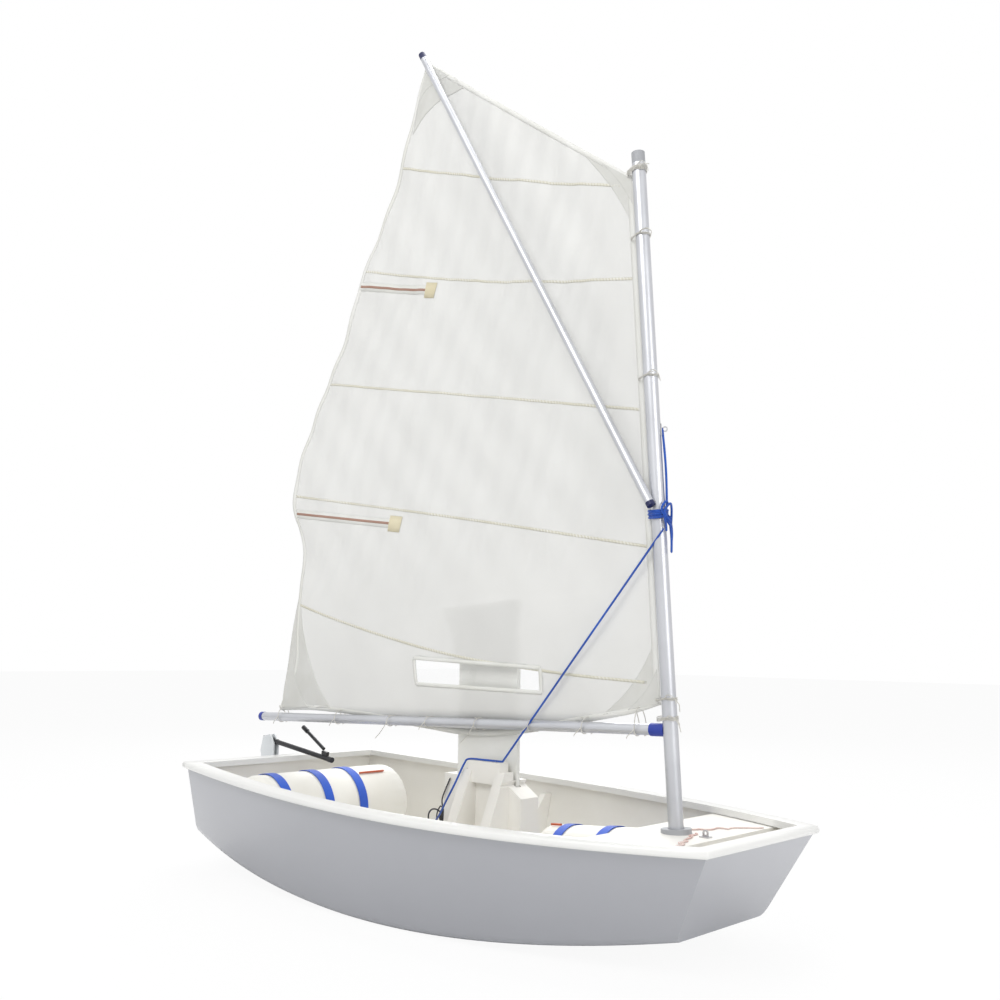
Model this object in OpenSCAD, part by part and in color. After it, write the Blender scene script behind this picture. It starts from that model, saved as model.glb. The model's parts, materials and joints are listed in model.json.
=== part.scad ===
// Small pram sailing dinghy with a sprit rig, standing on its own flat bottom.
// +X is the bow, +Y is port, +Z is up; the lowest point of the bottom is z = 0.

/* [Hull] */
// Length over the rails, bow to stern
hull_len = 2300; // [2200:10:2450]
// Greatest width over the rails
beam = 1116; // [1060:4:1180]
// Height of the rail's underside at the stern
sheer_stern = 379; // [360:1:400]
// Height of the rail's underside at mid length
sheer_mid = 339; // [325:1:355]
// Height of the rail's underside at the bow
sheer_bow = 334; // [320:1:360]
// Radius of the bottom's fore-and-aft curve
rocker_r = 5000; // [4600:50:6000]
// Thickness of the hull sides
side_t = 12; // [8:1:14]
// Thickness of the double floor
floor_t = 20; // [14:1:24]
// Radius of the corner between bottom and side
chine_r = 20; // [10:1:30]

/* [Rail] */
// Height of the rail moulding
rail_h = 21; // [18:1:30]
// How far the rail stands out from the hull side
rail_out = 20; // [14:1:26]
// Width of the rail's flat top, outer edge to inner edge
rail_w = 62; // [50:1:70]

/* [Interior] */
// Height of the mast thwart's top
thwart_z = 330; // [322:1:330]
// Fore-and-aft width of the mast thwart
thwart_w = 270; // [220:5:280]
// Thickness of the mast thwart
thwart_t = 14; // [10:1:14]
// Height of the midship frame at the centre, above the floor
frame_h = 110; // [90:5:130]
// Height of the daggerboard case's top
case_top = 420; // [400:5:430]
// Half width of the daggerboard case at its top
case_half = 42; // [38:1:46]

/* [Bags] */
// Radius of the stern buoyancy bag
stern_bag_r = 145; // [130:1:146]
// Length of the stern buoyancy bag
stern_bag_len = 690; // [600:10:700]
// Radius of the bow buoyancy bag
bow_bag_r = 116; // [100:1:117]
// Length of the bow buoyancy bag
bow_bag_len = 560; // [480:10:570]
// Width of the bag straps
strap_w = 38; // [30:1:45]

/* [Daggerboard] */
// Width of the daggerboard, fore and aft
board_w = 285; // [265:1:290]
// Thickness of the daggerboard
board_t = 15; // [12:0.5:16]
// Height of the daggerboard's head as it stands raised
board_top = 1031; // [980:1:1060]
// Play between the daggerboard and its slot on each side
board_play = 5; // [5:0.5:6]

/* [Spars] */
// Mast diameter
mast_d = 45; // [40:0.5:48]
// Mast length
mast_len = 2340; // [2320:1:2420]
// Rake of the mast, aft
rake = 3.27; // [2:0.01:5]
// How far the rig stands swung to starboard
swing = 2.75; // [2.7:0.05:3.2]
// Boom diameter
boom_d = 34; // [30:1:36]
// Distance from the mast's axis to the aft end of the boom
boom_reach = 2017; // [1950:1:2040]
// Wall thickness of the spars
spar_wall = 2; // [1.5:0.1:3]
// Sprit diameter
sprit_d = 28; // [26:1:30]

/* [Rudder] */
// Distance of the rudder's hinge line behind the stern rail
hinge_back = 36; // [34:1:40]
// Thickness of the rudder blade
blade_t = 15; // [12:1:18]
// Diameter of the tiller tube
tiller_d = 20; // [18:1:22]

/* [Show] */
// Which node to draw

/* [Hidden] */
$fn = 48;
fit = 0.3;                        // gap between pieces that rest on each other
rudder_reach = 250;               // rudder blade's reach behind the stern rail
x0 = -(hull_len - rudder_reach) / 2;   // stern rail, so that the whole is centred
low_x = 1190 / 2300 * hull_len;   // lowest point of the bottom, from the stern rail
stations = 44;

// Colours
white = [0.93, 0.92, 0.88];
grey = [0.66, 0.67, 0.69];
silver = [0.72, 0.74, 0.77];
blue = [0.08, 0.22, 0.75];
black = [0.05, 0.05, 0.06];
red = [0.78, 0.25, 0.12];

// ---- Hull form -------------------------------------------------------------
// columns: [share of the length, share of half the beam at the rail]
rail_plan = [[0, 0.848], [0.326, 1], [0.652, 0.961], [1, 0.523]];
// columns: [share of the length, share of half the beam at the chine]
chine_plan = [[0.016, 0.740], [0.326, 0.839], [0.652, 0.724], [0.934, 0.398]];

// Smooth curve through the four rows of a table
function basis(t, tab, i) = let (n = [for (j = [0:3]) if (j != i) (t - tab[j][0]) /
  (tab[i][0] - tab[j][0])]) n[0] * n[1] * n[2];
function curve4(t, tab) = tab[0][1] * basis(t, tab, 0) + tab[1][1] * basis(t, tab, 1)
  + tab[2][1] * basis(t, tab, 2) + tab[3][1] * basis(t, tab, 3);

// x here runs from the stern rail (0) to the bow rail (hull_len)
function rail_b(x) = beam / 2 * curve4(x / hull_len, rail_plan);
function chine_b(x) = beam / 2 * curve4(x / hull_len, chine_plan);
function keel_z(x) = pow(x - low_x, 2) / 2 / rocker_r;
function sheer_z(x) = let (t = x / hull_len)
  sheer_stern * 2 * (t - 0.5) * (t - 1) + sheer_mid * 4 * t * (1 - t)
  + sheer_bow * 2 * t * (t - 0.5);
function keel_slope(x) = atan((x - low_x) / rocker_r);

stern_low = 37 / 2300 * hull_len;      // foot of the stern transom
bow_low = 2148 / 2300 * hull_len;      // foot of the bow transom

// One half section, from the sheer down to the centre line, moved inward by e
// and upward by f at the bottom; the top stands up points above the sheer
function half_ring(xs, xc, e, f, up) = let (
    bt = rail_b(xs) - rail_out - e, zt = sheer_z(xs) + up,
    bc = chine_b(xc) - e, zc = keel_z(xc) + f,
    sl = (bt - bc) / (sheer_z(xs) - zc),
    px = (xs - xc) / (sheer_z(xs) - zc), r = chine_r)
  [[xs + px * up, bt + sl * up, zt],
   [xc + px * r * 1.2, bc + sl * r * 1.2, zc + r * 1.2],
   [xc + px * r * 0.35, bc - r * 0.18, zc + r * 0.35],
   [xc, bc - r * 0.9, zc],
   [xc, bc * 0.5, zc]];

function ring(xs, xc, e, f, up) = let (h = half_ring(xs, xc, e, f, up))
  concat(h, [for (i = [4:-1:0]) [h[i][0], -h[i][1], h[i][2]]]);

// Closed solid through rings of ten points each, ends closed by fans
module loft(rings) {
  m = len(rings);
  k = len(rings[0]);
  pts = [for (r = rings) for (p = r) [p[0] + x0, p[1], p[2]]];
  skin = [for (i = [0:m - 2]) for (j = [0:k - 1]) let (a = i * k + j, b = i * k + (j + 1) % k)
    each [[a, b, a + k], [b, b + k, a + k]]];
  aft = [for (j = [1:k - 2]) [0, j + 1, j]];
  fore = [for (j = [1:k - 2]) [(m - 1) * k, (m - 1) * k + j, (m - 1) * k + j + 1]];
  polyhedron(points = pts, faces = concat(skin, aft, fore), convexity = 6);
}

// Hull form moved inward by e, floor raised by f, ends drawn in by g
module form(e, f, g, up) {
  loft([for (i = [0:stations]) let (t = i / stations,
      xs = (rail_out - 5 + g) + t * (hull_len - 2 * (rail_out - 5 + g)),
      xc = (stern_low + g) + t * (bow_low - stern_low - 2 * g))
    ring(xs, xc, e, f, up)]);
}

// Everything the hull holds inside its walls
module inside(gap = fit) { form(side_t + gap, floor_t + gap, side_t + gap, 0); }

// Box by its least and greatest corner, measured from the stern rail
module span(a, b) { translate([a[0] + x0, a[1], a[2]]) cube(b - a); }

// ---- Hull body -------------------------------------------------------------
board_aft = 1081;    // aft edge of the daggerboard, from the stern rail
module board_slot(extra = 0) {
  span([board_aft - board_play - extra, -board_t / 2 - board_play - extra, -60],
    [board_aft + board_w + board_play + extra, board_t / 2 + board_play + extra, 900]);
}

module hull_shell() {
  color(grey) difference() {
    form(0, 0, 0, -fit);
    form(side_t, floor_t, side_t, 60);
    board_slot();
  }
}

// Ring of a rail section at one station
function rail_ring(x, b, lo, hi, bevel) = [
  [x, b - bevel, sheer_z(x) + hi], [x, b, sheer_z(x) + hi - bevel * 1.2],
  [x, b, sheer_z(x) + lo + bevel], [x, b - bevel * 0.6, sheer_z(x) + lo],
  [x, -b + bevel * 0.6, sheer_z(x) + lo], [x, -b, sheer_z(x) + lo + bevel],
  [x, -b, sheer_z(x) + hi - bevel * 1.2], [x, -b + bevel, sheer_z(x) + hi]];

module gunwale() {
  bevel = 5;
  color(white) difference() {
    loft(concat([rail_ring(0, rail_b(0) - bevel, 5, rail_h - 5, 3)],
      [for (i = [0:stations]) let (x = 6 + (hull_len - 12) * i / stations)
        rail_ring(x, rail_b(x), 0, rail_h, bevel)],
      [rail_ring(hull_len, rail_b(hull_len) - bevel, 5, rail_h - 5, 3)]));
    loft([for (i = [0:stations]) let (x = rail_w + (hull_len - 2 * rail_w + 12) * i / stations)
      rail_ring(x, rail_b(x) - rail_w, -40, rail_h + 40, 2)]);
  }
}

mast_x = 2013.6;     // mast foot, from the stern rail
foot_z = 93;         // origin of the rig's frame
thwart_aft = 1870;

// The rig's frame: z runs up the mast, -x aft, y to port
module rig_frame() {
  translate([mast_x + x0, 0, foot_z]) rotate([0, -rake, 0]) rotate([0, 0, swing]) children();
}

module mast_thwart() {
  color(white) difference() {
    intersection() {
      inside();
      span([thwart_aft, -600, thwart_z - thwart_t], [thwart_aft + thwart_w, 600, thwart_z]);
    }
    rig_frame() translate([0, 0, 150]) cylinder(d = mast_d + 4, h = 150);
  }
}

module mast_collar() {
  color(silver) difference() {
    intersection() {
      rig_frame() translate([0, 0, 150]) cylinder(d = mast_d * 2, h = 100);
      span([thwart_aft, -600, thwart_z + 0.1], [thwart_aft + thwart_w, 600, thwart_z + 60]);
    }
    rig_frame() translate([0, 0, 100]) cylinder(d = mast_d + 4, h = 300);
  }
}

module mast_step() {
  color(white) difference() {
    intersection() {
      inside();
      rig_frame() translate([0, 0, -60]) cylinder(r = 42, h = 105);
    }
    rig_frame() translate([0, 0, 5 - fit]) cylinder(d = mast_d + 4, h = 100);
  }
}

eye_x = thwart_aft + thwart_w - 40;
module painter_eye() {
  color(silver) translate([eye_x + x0, 0, thwart_z + 0.1]) {
    translate([-15, -12, 0]) cube([30, 24, 3]);
    difference() {
      union() {
        translate([0, 2.5, 12]) rotate([90, 0, 0]) cylinder(r = 9, h = 5);
        translate([-9, -2.5, 3]) cube([18, 5, 9]);
      }
      translate([0, 5, 12]) rotate([90, 0, 0]) cylinder(r = 5, h = 10);
    }
  }
}

frame_x = 1028;
module midship_frame() {
  side = beam / 2;
  color(white) intersection() {
    inside();
    translate([frame_x + x0, 0, 0]) rotate([90, 0, 90]) linear_extrude(25) polygon([
      [-side, 0], [side, 0], [side, sheer_mid - 34], [side - 70, sheer_mid - 40],
      [side - 110, sheer_mid - 90], [side - 150, floor_t + frame_h + 25],
      [side - 210, floor_t + frame_h], [-side + 210, floor_t + frame_h],
      [-side + 150, floor_t + frame_h + 25], [-side + 110, sheer_mid - 90],
      [-side + 70, sheer_mid - 40], [-side, sheer_mid - 34]]);
  }
}

case_aft = frame_x + 25 + fit;
case_fwd = board_aft + board_w + 54;
lip_aft = board_aft + 109;       // lip and buttresses on the starboard side
lip_len = 150;
lip_top = case_top + 56;

// Upright across the boat: columns [y, z], drawn w thick from x forward
module across(x, w) {
  translate([x + x0, 0, 0]) rotate([90, 0, 90]) linear_extrude(w) children();
}

module case_body() {
  across(case_aft, case_fwd - case_aft) polygon([
    [-100, 0], [100, 0], [100, floor_t + 8], [66, floor_t + 40], [54, floor_t + 120],
    [case_half + 2, floor_t + 260], [case_half, case_top], [-case_half, case_top],
    [-case_half - 2, floor_t + 260], [-54, floor_t + 120], [-66, floor_t + 40],
    [-100, floor_t + 8]]);
  // two slanted buttresses and the low foot between them
  for (x = [lip_aft - 24, lip_aft + lip_len - 18]) across(x, 42) polygon([
    [-20, 0], [-20, lip_top - 30], [-case_half - 20, lip_top - 30], [-165, 200], [-170, 0]]);
  across(lip_aft, lip_len) polygon([[-20, 0], [-20, 260], [-70, 250], [-138, 190], [-150, 0]]);
  // thick lip over the buttresses
  span([lip_aft, -case_half - 20, case_top - 16], [lip_aft + lip_len, -20, lip_top]);
}

module daggerboard_case() {
  color(white) difference() {
    union() {
      intersection() { inside(); case_body(); }
      intersection() {
        case_body();
        span([case_aft, -300, sheer_mid - 24], [case_fwd + 20, 300, 600]);
      }
    }
    board_slot();
    // the forward top corner is cut back
    translate([case_fwd + x0, 0, case_top]) rotate([0, 32, 0]) cube([90, 200, 90], center = true);
  }
}

// Rounded-end bag along +z, centred, with end corners of radius c
module bag(r, l, c) {
  rotate_extrude($fn = 64) polygon(concat([[0, -l / 2], [r - c, -l / 2]],
    [for (a = [-75:15:0]) [r - c + c * cos(a), -l / 2 + c + c * sin(a)]],
    [for (a = [0:15:75]) [r - c + c * cos(a), l / 2 - c + c * sin(a)]],
    [[r - c, l / 2], [0, l / 2]]));
}

module band(r, z) {
  translate([0, 0, z - strap_w / 2]) difference() {
    cylinder(r = r + 2.4, h = strap_w, $fn = 64);
    translate([0, 0, -1]) cylinder(r = r + 0.4, h = strap_w + 2, $fn = 64);
  }
}

sb_x = 400;
sb_z = keel_z(sb_x) + floor_t + (stern_bag_r + 2.8) / cos(keel_slope(sb_x)) + fit;
module stern_bag_frame() {
  translate([sb_x + x0, -90, sb_z]) rotate([-90, 0, 0]) children();
}
module stern_bag() { color(white) stern_bag_frame() bag(stern_bag_r, stern_bag_len, 55); }
module stern_bag_straps() {
  color(blue) stern_bag_frame() for (y = [-240, -60, 97]) band(stern_bag_r, y);
}

bb_aft = 1345;
bb_fwd = bb_aft + bow_bag_len;
bb_tilt = atan((keel_z(bb_fwd - 30) - keel_z(bb_aft + 30)) / (bow_bag_len - 60));
bb_mid = (keel_z(bb_fwd - 30) + keel_z(bb_aft + 30)) / 2 + floor_t
  + (bow_bag_r + 2.8) / cos(bb_tilt) + 2;
module bow_bag_frame() {
  translate([(bb_aft + bb_fwd) / 2 + x0, 176, bb_mid]) rotate([0, 90 - bb_tilt, 0]) children();
}
module bow_bag() { color(white) bow_bag_frame() bag(bow_bag_r, bow_bag_len, 50); }
module bow_bag_straps() {
  color(blue) bow_bag_frame() for (z = [-165, 15, 190]) band(bow_bag_r, z);
}

module inflation_tubes() {
  color(red) {
    stern_bag_frame() rotate([0, 0, -60]) translate([stern_bag_r + 4.4, 0, 125])
      cylinder(r = 4, h = 120);
    bow_bag_frame() rotate([0, 0, -168]) translate([bow_bag_r + 4.4, 0, -232])
      cylinder(r = 4, h = 44);
  }
}

module sheet_block() {
  color(black) translate([x0 + 1016, 0, 262]) {
    rotate([90, 0, 0]) cylinder(r = 27, h = 9);
    translate([0, 9, 0]) rotate([90, 0, 0]) cylinder(r = 27, h = 9);
  }
  color(white) {
    span([1016, -14, 250], [case_aft - fit, 14, 274]);
  }
}

hinge_x = -hinge_back;
module transom_gudgeons() {
  color(silver) for (z = [210, 320]) {
    face = rail_out - 5 + (stern_low - rail_out + 5) * (sheer_stern - z) / (sheer_stern - 131);
    difference() {
      union() {
        span([hinge_x, -8, z - 8], [face + 1.6, 8, z + 8]);
        translate([hinge_x + x0, 0, z - 8]) cylinder(r = 8, h = 16);
        span([face - 4, -28, z - 14], [face + 1.6, 28, z + 14]);
      }
      translate([hinge_x + x0, 0, z - 20]) cylinder(r = 4.5, h = 40);
      form(-fit, 0, -fit, 0);
    }
  }
}

// ---- Rig body --------------------------------------------------------------
// Drawn tube open at both ends
module tube(d, h) {
  difference() {
    cylinder(d = d, h = h);
    translate([0, 0, -1]) cylinder(d = d - 2 * spar_wall, h = h + 2);
  }
}

module mast() {
  color(silver) rig_frame() translate([0, 0, 5]) tube(mast_d, mast_len - 5);
}

module mast_plug() {
  color(black) rig_frame() translate([0, 0, mast_len]) difference() {
    cylinder(d = mast_d - 1, h = 40);
    translate([0, 0, 10]) cylinder(r = 3.25, h = 40);
  }
}

module mast_eye() {
  color(silver) rig_frame() rotate([0, 0, -150]) translate([-mast_d / 2 - 0.2, 0, 1444]) {
    translate([-3, -6, -18]) cube([3, 12, 36]);
    difference() {
      translate([-12, 2, 0]) rotate([90, 0, 0]) cylinder(r = 9, h = 4);
      translate([-12, 5, 0]) rotate([90, 0, 0]) cylinder(r = 5, h = 10);
    }
  }
}

boom_s = 530;        // height of the boom's axis at the mast, along the mast
boom_rise = 53;      // how much higher its aft end stands
boom_tilt = atan(boom_rise / (boom_reach - 27));
module boom_frame() {
  rig_frame() translate([-27, 0, boom_s]) rotate([0, boom_tilt, 0]) children();
}
module boom() {
  color(silver) boom_frame() translate([-boom_reach + 47, 0, 0]) rotate([0, 90, 0])
    tube(boom_d, boom_reach - 47 - 40);
}
module boom_jaw() {
  color(blue) difference() {
    boom_frame() translate([-39.7, 0, 0]) rotate([0, 90, 0]) cylinder(d = boom_d + 5, h = 50);
    rig_frame() translate([0, 0, boom_s - 60]) cylinder(d = mast_d + 0.6, h = 120);
  }
}
module boom_end_cap() {
  color(blue) boom_frame() translate([-boom_reach + 27, 0, 0]) rotate([0, 90, 0])
    cylinder(d = boom_d + 2, h = 20);
}

// Sprit: heel against the mast's starboard side, head at the sail's peak
peak_u = 980;
peak_s = 3180;
heel_s = 1200;
heel_y = -(mast_d + sprit_d) / 2 - 0.5;
head_y = -sprit_d / 2 - 2;
sprit_v = [-peak_u, head_y - heel_y, peak_s - heel_s];
sprit_len = norm(sprit_v);
module sprit_frame() {
  rig_frame() translate([0, heel_y, heel_s])
    rotate([0, acos(sprit_v[2] / sprit_len), atan2(sprit_v[1], sprit_v[0])]) children();
}
module sprit() {
  color(silver) sprit_frame() translate([0, 0, 14]) tube(sprit_d, sprit_len - 44);
}
module sprit_caps() {
  color(blue) sprit_frame() {
    cylinder(d = sprit_d, h = 14);
    translate([0, 0, sprit_len - 30]) cylinder(d = sprit_d, h = 30);
  }
}

module snotter_rope() {
  rope = 4;
  color(blue) rig_frame() {
    for (i = [0:2]) translate([0, 0, heel_s - 14 - i * 8.4])
      rotate_extrude() translate([mast_d / 2 + rope + 0.3, 0]) circle(r = rope, $fn = 24);
    rotate([0, 0, 30]) translate([mast_d / 2 + 6, 8.5, heel_s - 30])
      cylinder(r = 2.6, h = 1444 - heel_s + 20);
  }
}

// Sail outline, columns: [distance aft of the mast's axis, height up the mast]
function outline() = [
  [23, 600], [23, 1150], [33, 1156], [33, 1200], [23, 1206], [22.9, 2308],
  [955, 3178], [980, 3180], [1192, 2705], [1401, 2378], [1531, 2106], [1685, 1856],
  [1773, 1653], [1819, 1434], [1769, 1286], [1787, 1014], [1791, 808], [1898, 606],
  [1880, 600]];
module sail() {
  color([0.95, 0.95, 0.94]) rig_frame() rotate([90, 0, 0]) translate([0, 0, -1.5])
    linear_extrude(3) polygon([for (p = outline()) [-p[0], p[1] + (p[1] < 700 ? 5 : 0)]]);
}

// ---- Rudder body -----------------------------------------------------------
module rudder_blade() {
  color(white) translate([x0, blade_t / 2, 0]) rotate([90, 0, 0]) linear_extrude(blade_t)
    polygon([[hinge_x - 22, 150], [hinge_x - 22, 385], [-150, 385], [-205, 250],
      [-rudder_reach, 110], [-235, 60], [-190, 40], [-120, 60], [hinge_x - 40, 105]]);
}
module rudder_head() {
  color(white) for (s = [-1, 1]) translate([x0, s * (blade_t / 2 + 3.3) + 3, 0])
    rotate([90, 0, 0]) linear_extrude(6)
      polygon([[hinge_x - 22, 300], [hinge_x - 22, 440], [-90, 478], [-140, 466], [-158, 405],
        [-120, 300]]);
}
module rudder_pintles() {
  color(silver) {
    translate([hinge_x + x0, 0, 180]) cylinder(r = 4, h = 175);
    for (z = [178, 240, 350]) span([hinge_x - 22 + fit, -6, z], [hinge_x, 6, z + 8]);
  }
}
tiller_a = [-150, 0, 458];
tiller_b = [335, 0, 402];
tiller_tilt = atan((tiller_a[2] - tiller_b[2]) / (tiller_b[0] - tiller_a[0]));
tiller_len = norm(tiller_b - tiller_a);
module tiller_frame() {
  translate([tiller_a[0] + x0, 0, tiller_a[2]]) rotate([0, 90 + tiller_tilt, 0]) children();
}
module tiller() {
  color(black) tiller_frame() {
    translate([0, 0, 102]) cylinder(d = tiller_d, h = tiller_len - 122);
    // the part between the cheeks is squeezed flat
    translate([-tiller_d / 2, -7, 0]) cube([tiller_d, 14, 102]);
  }
}
module tiller_joint() {
  color(black) tiller_frame() {
    translate([0, 0, tiller_len - 20 + fit]) cylinder(d = tiller_d + 2, h = 24);
    translate([-26, -7, tiller_len - 62]) cube([26 - tiller_d / 2 - fit, 14, 34]);
  }
}
module tiller_extension() {
  a = [282, 0, 441.5];
  b = [135, 0, 520];
  v = b - a;
  color(black) translate([a[0] + x0, 0, a[2]]) rotate([0, -acos(v[2] / norm(v)), 0]) {
    cylinder(d = 14, h = norm(v));
    translate([0, 0, norm(v) - 34]) cylinder(d = 19, h = 34);
  }
}

// ---- Daggerboard body ------------------------------------------------------
module daggerboard() {
  fore = board_aft + board_w;
  color(white) translate([x0, board_t / 2, 0]) rotate([90, 0, 0]) linear_extrude(board_t)
    polygon([[board_aft, 12], [board_aft, 800], [board_aft - 40, 890], [board_aft - 84, 970],
      [board_aft - 86, 996], [fore, board_top - 8], [fore, 30], [fore - 20, 12]]);
}
module board_head() {
  fore = board_aft + board_w;
  color(white) for (s = [-1, 1]) translate([x0, s * (board_t / 2 + 4.15) + 4, 0])
    rotate([90, 0, 0]) linear_extrude(8)
      polygon([[board_aft - 70, 968], [board_aft - 72, 994], [fore - 4, board_top - 9],
        [fore - 4, board_top - 40]]);
}

hull_shell();
gunwale();
mast_thwart();
mast_collar();
mast_step();
painter_eye();
midship_frame();
daggerboard_case();
stern_bag();
bow_bag();
stern_bag_straps();
bow_bag_straps();
inflation_tubes();
sheet_block();
transom_gudgeons();
mast();
mast_plug();
mast_eye();
boom();
boom_jaw();
boom_end_cap();
sprit();
sprit_caps();
snotter_rope();
sail();
rudder_blade();
rudder_head();
rudder_pintles();
tiller();
tiller_joint();
tiller_extension();
daggerboard();
board_head();
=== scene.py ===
"""Looks of a small pram dinghy: finishes, sail, bags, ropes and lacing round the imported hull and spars."""

import json
import logging
import math
from dataclasses import dataclass, field
from enum import Enum
from typing import Sequence

import bmesh
import bpy
import numpy as np
from mathutils import Matrix

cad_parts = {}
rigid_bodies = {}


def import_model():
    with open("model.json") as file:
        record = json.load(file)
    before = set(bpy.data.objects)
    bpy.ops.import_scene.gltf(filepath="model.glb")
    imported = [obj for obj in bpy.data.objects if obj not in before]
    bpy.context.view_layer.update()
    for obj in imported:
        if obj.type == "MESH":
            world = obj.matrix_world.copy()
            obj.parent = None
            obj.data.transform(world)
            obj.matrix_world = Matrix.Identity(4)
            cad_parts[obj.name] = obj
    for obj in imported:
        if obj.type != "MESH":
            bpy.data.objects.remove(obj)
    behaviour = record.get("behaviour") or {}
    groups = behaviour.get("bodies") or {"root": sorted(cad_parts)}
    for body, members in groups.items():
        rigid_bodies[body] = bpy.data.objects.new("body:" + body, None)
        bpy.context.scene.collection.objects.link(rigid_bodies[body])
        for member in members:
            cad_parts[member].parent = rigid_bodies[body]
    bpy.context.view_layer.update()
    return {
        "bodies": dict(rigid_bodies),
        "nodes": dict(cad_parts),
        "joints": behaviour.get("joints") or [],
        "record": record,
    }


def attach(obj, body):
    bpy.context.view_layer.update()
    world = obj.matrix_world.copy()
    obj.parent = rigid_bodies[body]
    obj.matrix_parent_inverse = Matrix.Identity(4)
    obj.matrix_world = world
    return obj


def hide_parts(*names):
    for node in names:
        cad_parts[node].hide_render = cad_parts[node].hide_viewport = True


log = logging.getLogger("dinghy")
Points = np.ndarray
Flat = Sequence[tuple[float, float]]
FRAME: dict = {}

STERN = -1.025          # x of the stern rail's outer edge, where the hull's stations start
LOWEST = 1.190          # station of the bottom's lowest point
ROCKER = 5.0            # radius of the bottom's curve along the hull
FLOOR = 0.020           # thickness of the floor
STRAP_RISE = 0.0028     # how far a bag stands clear of the floor, for the strap under it
BOOM_START = (0.027, 0.530)     # the boom's axis at the mast: aft of the mast's axis, and up it
BOOM_RISE = 0.053 / 1.99        # how much the boom rises for each metre aft


def keel(x: float) -> float:
    """Height of the bottom: the square of the distance from its lowest point, over twice the radius.

    Args:
        x: Station, from the stern rail.

    Returns:
        The height above the hull's lowest point.
    """
    return (x - LOWEST) ** 2 / 2 / ROCKER


def boom_axis(u: np.ndarray | float) -> np.ndarray | float:
    """Height of the boom's axis up the mast, a straight line in the distance aft.

    Args:
        u: Distance aft of the mast's axis.

    Returns:
        The height, in metres.
    """
    return BOOM_START[1] + (u - BOOM_START[0]) * BOOM_RISE


def hull_knots(knots: Sequence[tuple[float, float, float]]) -> list[tuple[float, float, float]]:
    """Move knots from stations to the row frame.

    Args:
        knots: Points whose x is a station from the stern rail.

    Returns:
        The same points in the row frame.
    """
    return [(x + STERN, y, z) for x, y, z in knots]


class Side(Enum):
    """Which face of the sail a piece lies on; the value is the sign of y."""

    STARBOARD = -1
    PORT = 1


class Weave(Enum):
    """The fine pattern pressed into a finish."""

    NONE = "none"
    GRAIN = "grain"
    CLOTH = "cloth"
    BRAID = "braid"
    BRUSHED = "brushed"
    STITCH = "stitch"


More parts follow.
